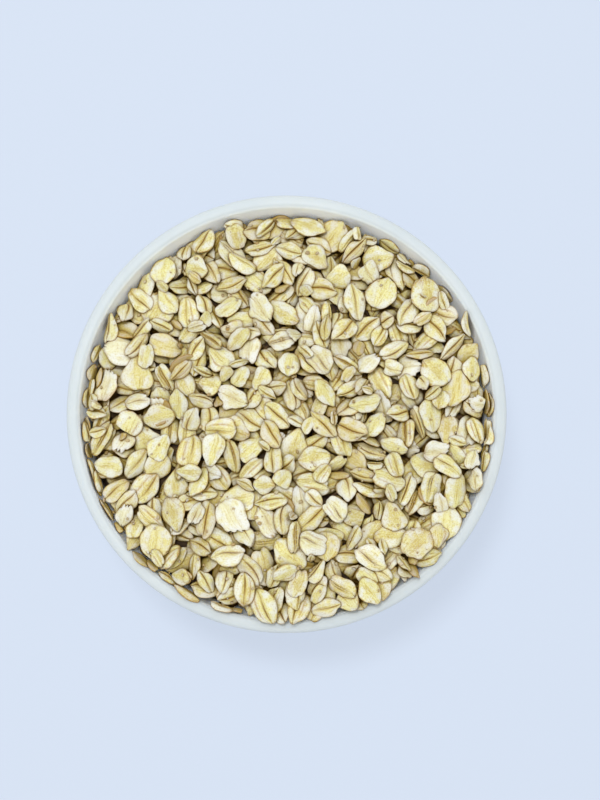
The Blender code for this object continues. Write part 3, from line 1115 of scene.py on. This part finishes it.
def addShades(mesh):
    points = readVectors(mesh.vertices, "co")
    own = np.empty(len(points), np.int32)
    mesh.attributes["number"].data.foreach_get("value", own)
    below = blurred[cellOf(points[:, 0]), cellOf(points[:, 1])] - points[:, 2]
    depth = np.clip((below - shadeForm["depthStart"]) / shadeForm["depthRange"], 0, 1)
    ix, iy = fineCell(points[:, 0]), fineCell(points[:, 1])
    over = np.zeros(len(points))
    reach = shadeForm["contactReach"]
    for stepX in range(-reach, reach + 1):
        for stepY in range(-reach, reach + 1):
            apart = math.hypot(stepX, stepY)
            if apart > reach + 0.3:
                continue
            nearX = np.clip(ix + stepX, 0, 2 * fineHalf)
            nearY = np.clip(iy + stepY, 0, 2 * fineHalf)
            rise = np.where(fineOwner[nearX, nearY] != own, fineTop[nearX, nearY] - points[:, 2], 0)
            over = np.maximum(over, rise * (1 - 0.6 * apart / (reach + 0.3)))
    contactShade = np.clip((over - shadeForm["contactStart"]) / shadeForm["contactRange"], 0, 1)
    upwards = readVectors(mesh.vertex_normals, "vector")[:, 2]
    steep = np.clip((shadeForm["steepStart"] - upwards) / shadeForm["steepRange"], 0, 1)
    setVectors(mesh, "flakeShade", np.stack([depth, contactShade, steep], -1))


def placesOf(numbers):
    return [tuple(flakes[number][key] for key in ("form", "pose", "size", "at")) for number in numbers]


def addOats(name, shapes, places, tone, numbers):
    piece = scatterPiece(name, shapes, places, tone, numbers)
    addShades(piece.data)
    oatPieces.append(piece)
    return len(piece.data.polygons)


# The tone of a flake: its light, its warmth, and a random number for its own pattern
tones = {
    "seed": 77,
    "light": (0.985, 0.026),
    "warmthSpread": 0.14,
    "flouryShare": 0.3,
    "germWarmth": 0.55,
    # Painted shade: buried flakes are darker and warmer, for the shade deep in the heap
    "buriedShadeLight": (0.85, 0.06),
    "buriedShadeWarmth": 0.4,
}

toneDraw = random.Random(tones["seed"])
oatPieces = []
for kind in flakeKinds:
    numbers = [number for number, flake in enumerate(flakes) if flake["kind"] == kind and shown[number]]
    tone = []
    for _ in numbers:
        warmth = tones["germWarmth"]
        if kind != "germFlakes":
            warmth = max(0.0, toneDraw.gauss(0.0, tones["warmthSpread"]))
        if kind == "flouryFlakes":
            warmth *= tones["flouryShare"]
        tone.append((toneDraw.gauss(*tones["light"]), warmth, toneDraw.random()))
    faces = addOats(kind, [form["mesh"] for form in flakeForms[kind]], placesOf(numbers), tone, numbers)
    print("stage 5:", kind, len(numbers), "flakes,", faces, "faces")


# Buried flakes: the same poses with a plain oval of few faces

def setPlain(mesh, spots, marks):
    # Flakes and crumbs that have no crease
    setVectors(mesh, "flakeSpot", spots)
    setVectors(mesh, "flakeMarks", np.tile(marks, (len(spots), 1)))
    setVectors(mesh, "flakeCrease", np.tile((1.0, 0.0, 0.0), (len(spots), 1)))


def plainFlake(name):
    form = bmesh.new()
    ends = {"radius1": 1.0, "radius2": 0.93, "depth": 1.0, "cap_ends": True, "cap_tris": True}
    bmesh.ops.create_cone(form, segments=12, **ends)
    for vertex in form.verts:
        vertex.co.x *= flakeGrid["halfLength"]
        vertex.co.y *= flakeGrid["halfWidth"]
        vertex.co.z *= 2 * flakeGrid["halfThickness"] * 0.8
    mesh = takeMesh(name, form)
    uv = mesh.uv_layers.new(name="OFBake")
    spots = np.array([vertex.co for vertex in mesh.vertices])
    disc = spots[:, :2] / np.array((flakeGrid["halfLength"], flakeGrid["halfWidth"]))
    for loop in mesh.loops:
        u, v = disc[loop.vertex_index]
        lift = 0.75 if spots[loop.vertex_index][2] > 0 else 0.25
        uv.data[loop.index].uv = (0.5 + 0.45 * u, lift + 0.21 * v)
    setPlain(mesh, np.column_stack([disc, np.hypot(disc[:, 0], disc[:, 1])]), (0.0, 0.0, 0.7))
    return mesh


numbers = [number for number in range(len(flakes)) if not shown[number]]
places = [(0, *place[1:]) for place in placesOf(numbers)]
# Painted shade: darker and warmer tones for the buried flakes
tone = [(toneDraw.gauss(*tones["buriedShadeLight"]), tones["buriedShadeWarmth"], toneDraw.random()) for _ in numbers]
faces = addOats("buriedFlakes", [plainFlake("buriedFlakes.form")], places, tone, numbers)
print("stage 6: buried", len(places), "flakes,", faces, "faces")


# The core below the loose flakes, coloured dark brown as painted shade

core = {
    "gap": 0.3 * mm,
    "segments": 96,
    "topRings": 30,
    "sideSteps": 14,
    "bump": 0.5 * mm,
    "seed": 12,
    # Painted shade: colours far darker than the flakes, for the deep shade under the loose flakes
    "brown": srgb(70, 46, 20),
    "tan": srgb(128, 98, 54),
    "darkShade": srgb(40, 25, 10),
}


def makeCore():
    side = innerSide(core["gap"], core["sideSteps"])
    low = bowlHeight - heap["edgeBelowRim"] - heap["edgeLean"] - heap["looseDepth"]
    edgeRadius = float(np.interp(low, [p[1] for p in side], [p[0] for p in side]))
    profile = [(0.0, side[0][1])] + [point for point in side if point[1] < low] + [(edgeRadius, low)]
    start = len(profile) - 1
    for ring in range(1, core["topRings"] + 1):
        profile.append((edgeRadius * (1 - ring / core["topRings"]), low))
    mesh = turned("heapCore", profile, core["segments"])
    bumps = random.Random(core["seed"])
    for vertex in list(mesh.vertices)[1 + start * core["segments"] :]:
        top = float(heapHeight(vertex.co.x, vertex.co.y)) - heap["looseDepth"]
        vertex.co.z = max(low, top) + bumps.uniform(-1, 1) * core["bump"]
    return addObject("heapCore", mesh)


def coreMaterial():
    material, tree, shader = newMaterial("packedOats")
    where = node(tree, "ShaderNodeTexCoord").outputs["Object"]
    chips = node(tree, "ShaderNodeTexVoronoi", {"Vector": where, "Scale": 260}).outputs["Distance"]
    cloud = noiseOf(tree, where, 700, 3.0)
    colour = blendColours(tree, rangeOf(tree, cloud, 0.35, 0.65), core["brown"], core["tan"])
    colour = blendColours(tree, rangeOf(tree, chips, 0.1, 0.6, 0.0, 0.8), colour, core["darkShade"])
    fill(tree, shader, {"Base Color": colour, "Roughness": 0.85, "Normal": bumpOf(tree, cloud, 0.6, 0.0006)})
    return material


coreBody = makeCore()
coreBody.data.materials.append(coreMaterial())
oatPieces.append(coreBody)
print("stage 7: core", len(coreBody.data.polygons), "faces")


# Crumbs: broken bits that have fallen into the gaps and onto the flakes

crumbs = {
    "count": 420,
    "forms": 6,
    "half": 0.85 * mm,
    "seed": 9,
    "margin": 1.5 * mm,
    "hollow": 0.5 * mm,
    "skipped": 0.88,
    "lift": 0.25 * mm,
    "mostSlope": 0.6,
    "mapColumns": 5,
    "mapRows": 4,
}


def crumbForm(name, bits):
    form = bmesh.new()
    bmesh.ops.create_icosphere(form, subdivisions=1, radius=crumbs["half"])
    flat = bits.uniform(0.30, 0.55)
    for vertex in form.verts:
        vertex.co *= bits.uniform(0.72, 1.18)
        vertex.co.y *= 0.75
        vertex.co.z *= flat
    mesh = takeMesh(name, form)
    uv = mesh.uv_layers.new(name="OFBake")
    for polygon in mesh.polygons:
        row, column = divmod(polygon.index, crumbs["mapColumns"])
        for corner, loop in enumerate(polygon.loop_indices):
            u, v = ((0.12, 0.12), (0.88, 0.12), (0.5, 0.88))[corner]
            uv.data[loop].uv = ((column + u) / crumbs["mapColumns"], (row + v) / crumbs["mapRows"])
    spots = np.array([vertex.co for vertex in mesh.vertices]) / crumbs["half"]
    spots = np.column_stack([spots[:, :2] * 0.6, np.full(len(spots), 0.6)])
    setPlain(mesh, spots, (0.0, bits.uniform(0.1, 0.9), 0.8))
    return mesh


def makeCrumbs():
    bits = random.Random(crumbs["seed"])
    shapes = [crumbForm(f"oatCrumbs.form{n}", bits) for n in range(crumbs["forms"])]
    places = []
    tone = []
    while len(places) < crumbs["count"]:
        _, x, y, ix, iy = randomSpot(bits, wallTop - crumbs["margin"])
        if blurred[ix, iy] - heights[ix, iy] < crumbs["hollow"] and bits.random() < crumbs["skipped"]:
            continue
        grow = bits.uniform(0.35, 1.0) ** 1.3
        z = heights[ix, iy] + crumbs["lift"] * grow
        rises = (heights[ix + 1, iy] - heights[ix - 1, iy], heights[ix, iy + 1] - heights[ix, iy - 1])
        slopes = [rise / (2 * heap["cell"]) for rise in rises]
        tilt = tiltMatrix(*(min(max(slope, -crumbs["mostSlope"]), crumbs["mostSlope"]) for slope in slopes))
        pose = tilt @ turnMatrix(bits.uniform(0, 2 * math.pi))
        size = (grow, grow * bits.uniform(0.7, 1.1), grow)
        places.append((bits.randrange(crumbs["forms"]), pose, size, (x, y, z)))
        tone.append((bits.gauss(0.95, 0.08), max(0.0, bits.gauss(0.3, 0.3)), bits.random()))
    return addOats("oatCrumbs", shapes, places, tone, [-2] * len(places))


print("stage 8: crumbs", makeCrumbs(), "faces")


# Every piece rides on the one body

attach(bowl, "root")
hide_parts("bowl")
for piece in oatPieces:
    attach(piece, "root")
    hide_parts("rolled_oats")


# Floor, light and camera

stage = {
    "floorSide": 3.0,
    "floorColour": srgb(211, 222, 239),
    "floorGlow": 0.70,
    "skyColour": srgb(250, 248, 244),
    "skyStrength": 0.76,
    "aim": (0, 0, 0.06),
    "lampColour": (0.96, 0.985, 1.0),
    "stripPower": 1.0,
    "stripSize": (0.45, 1.1),
    "stripPlace": (0.00, -0.04, 1.0),
    "keyPower": 4.2,
    "keySize": (0.16, 0.16),
    "keyPlace": (-0.10, 0.16, 1.0),
}

half = stage["floorSide"] / 2
corners = [(-half, -half, 0), (half, -half, 0), (half, half, 0), (-half, half, 0)]
floor = addObject("floor", meshFrom("floor", corners, [(0, 1, 2, 3)]))
floorMaterial, floorTree, floorShader = newMaterial("paleFloor")
shadedColour = [(1 - stage["floorGlow"]) * value for value in stage["floorColour"][:3]]
fill(floorTree, floorShader, {
    "Base Color": (*shadedColour, 1.0),
    "Emission Color": stage["floorColour"],
    "Emission Strength": stage["floorGlow"],
    "Roughness": 0.8,
    "Specular IOR Level": 0.2,
})
floor.data.materials.append(floorMaterial)

world = bpy.data.worlds.new("softRoom")
world.use_nodes = True
sky = {"Color": stage["skyColour"], "Strength": stage["skyStrength"]}
fill(world.node_tree, world.node_tree.nodes["Background"], sky)
bpy.context.scene.world = world


def addLight(name):
    lamp = bpy.data.lights.new(name, "AREA")
    lamp.shape = "RECTANGLE"
    lamp.size, lamp.size_y = stage[name + "Size"]
    lamp.energy = stage[name + "Power"]
    lamp.color = stage["lampColour"]
    thing = addObject(name, lamp)
    thing.location = stage[name + "Place"]
    aim = Vector(stage["aim"]) - thing.location
    thing.rotation_euler = aim.to_track_quat("-Z", "Y").to_euler()


addLight("strip")
addLight("key")

# The camera looks almost straight down, from a little below the picture's middle
view = {
    "distance": 0.42,
    "tilt": math.radians(6.5),
    "aimX": 4.26 * mm,
    "aimY": 3.10 * mm,
    "sensorHeight": 36.0,
    "lens": 59.58,
}


def placeCamera():
    camera = bpy.data.cameras.new("camera")
    camera.sensor_fit = "VERTICAL"
    camera.sensor_height = view["sensorHeight"]
    camera.lens = view["lens"]
    back = Vector((0, -math.sin(view["tilt"]), math.cos(view["tilt"])))
    thing = addObject("camera", camera)
    thing.location = Vector((view["aimX"], view["aimY"], bowlHeight)) + back * view["distance"]
    thing.rotation_euler = (view["tilt"], 0, 0)
    bpy.context.scene.camera = thing


placeCamera()
bpy.context.scene.view_settings.view_transform = "Standard"
print("stage 9: floor, light and camera")
